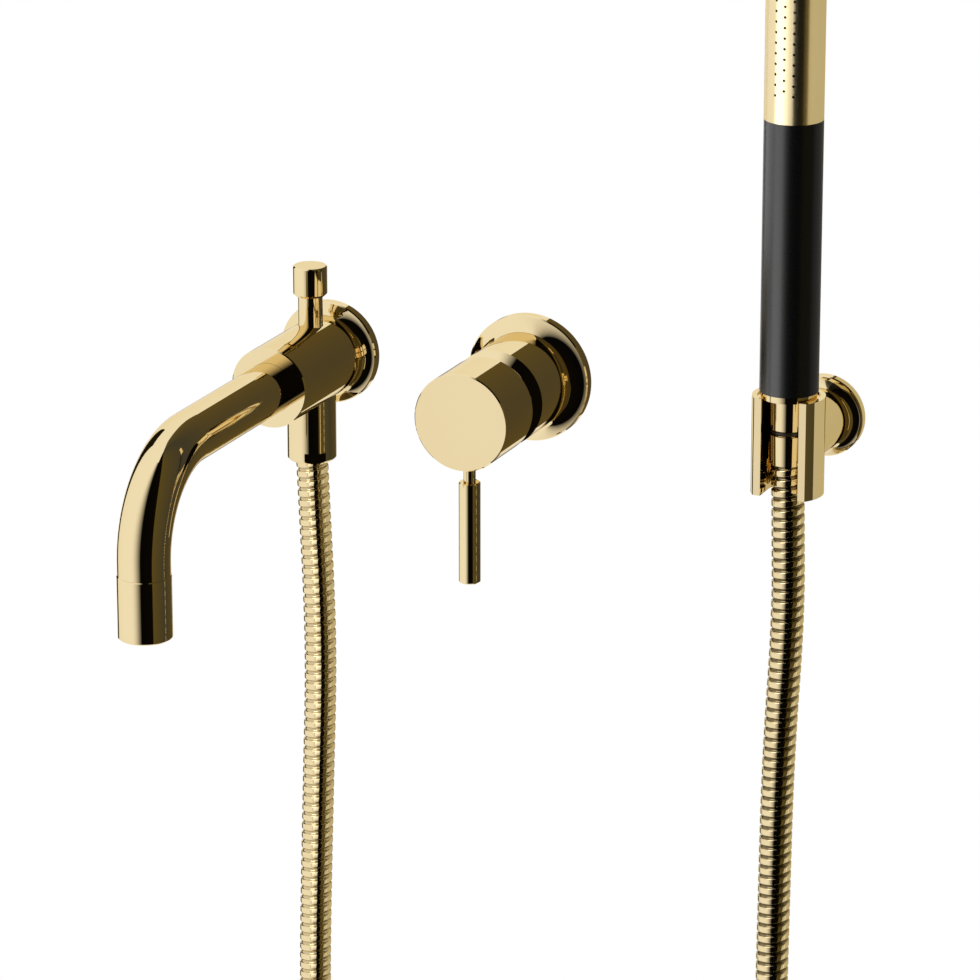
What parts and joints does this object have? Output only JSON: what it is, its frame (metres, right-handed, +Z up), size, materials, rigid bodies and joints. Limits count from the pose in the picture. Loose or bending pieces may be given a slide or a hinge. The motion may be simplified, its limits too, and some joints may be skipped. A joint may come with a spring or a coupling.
{
  "type": "wall mounted bath faucet",
  "caption": "Wall bath set in champagne gold: bent spout with pull diverter, single-lever mixer, and slotted holder with a stick hand shower on a ribbed hose.",
  "frame": {"origin": "the mixer's axis where it meets the finished wall", "axes": "+Z up, +X to the right as seen from the room, +Y into the wall"},
  "size_m": [0.2863, 0.2176, 0.8196],
  "materials": {
    "polished_gold": "polished champagne gold plating on brass",
    "satin_gold": "satin champagne gold plating on brass",
    "ribbed_gold": "double-lock ribbed metal hose, champagne gold",
    "black_grip": "matte black sleeve",
    "black_rubber": "moulded sealing rubber",
    "raw_brass": "turned brass, unplated",
    "white_plastic": "moulded acetal",
    "ceramic": "lapped alumina ceramic",
    "steel": "stainless steel"
  },
  "bodies": {
    "wall_set": {"aerator_insert": "white_plastic", "aerator_ring": "polished_gold", "aerator_washer": "black_rubber", "cartridge_base": "white_plastic", "cartridge_base_seal": "black_rubber", "cartridge_housing": "white_plastic", "cartridge_nut": "raw_brass", "diverter_bonnet": "polished_gold", "diverter_bonnet_seal": "black_rubber", "fixed_ceramic_disc": "ceramic", "holder_arm": "polished_gold", "holder_clip": "polished_gold", "holder_clip_screw": "steel", "holder_grub_screw": "steel", "holder_rosette": "polished_gold", "holder_wall_plate": "raw_brass", "hose_outlet": "polished_gold", "hose_outlet_ferrule": "raw_brass", "mixer_body": "raw_brass", "mixer_rosette": "polished_gold", "mixer_rosette_seal": "black_rubber", "mixer_sleeve": "polished_gold", "outlet_washer": "black_rubber", "shower_hose": "ribbed_gold", "spout_body": "polished_gold", "spout_grub_screw": "steel", "spout_nipple_seal": "black_rubber", "spout_rosette": "polished_gold", "spout_rosette_seal": "black_rubber", "spout_tube": "polished_gold", "spout_tube_seal": "black_rubber", "spout_wall_nipple": "raw_brass"},
    "temperature_guide": {"cartridge_guide": "white_plastic", "cartridge_pivot_pin": "steel"},
    "handle": {"cartridge_stem": "steel", "handle_cap": "polished_gold", "handle_grub_screw": "steel", "mixer_lever": "polished_gold"},
    "disc": {"moving_ceramic_disc": "ceramic"},
    "diverter": {"diverter_rod": "raw_brass", "diverter_knob": "polished_gold", "diverter_lower_seal": "black_rubber", "diverter_piston": "raw_brass", "diverter_upper_seal": "black_rubber"},
    "hand_shower": {"handshower_connector": "polished_gold", "handshower_water_tube": "white_plastic", "handshower_grip": "black_grip", "handshower_head": "satin_gold", "handshower_end_cap": "satin_gold", "hose_cone_nut": "polished_gold", "hose_washer": "black_rubber", "hose_ferrule": "polished_gold"}
  },
  "joints": [
    {"name": "temperature_turn", "type": "hinge", "parent": "wall_set", "child": "temperature_guide", "pos_m": [0, -0.0615, 0], "axis": [0, 1, 0], "range_deg": [-45, 45]},
    {"name": "flow_lift", "type": "hinge", "parent": "temperature_guide", "child": "handle", "pos_m": [0, -0.0615, 0], "axis": [-1, 0, 0], "range_deg": [0, 16]},
    {"name": "disc_slide", "type": "slide", "parent": "temperature_guide", "child": "disc", "axis": [0, 0, -1], "range_m": [0, 0.00322]},
    {"name": "diverter_pull", "type": "slide", "parent": "wall_set", "child": "diverter", "axis": [0, 0, 1], "range_m": [0, 0.01]},
    {"name": "hand_shower_lift", "type": "slide", "parent": "wall_set", "child": "hand_shower", "axis": [0, 0, 1], "range_m": [0, 0.055], "deforming": ["shower_hose"]}
  ],
  "couplings": [
    {"joint": "disc_slide", "follows": "flow_lift", "m_per_rad": 0.0115}
  ]
}
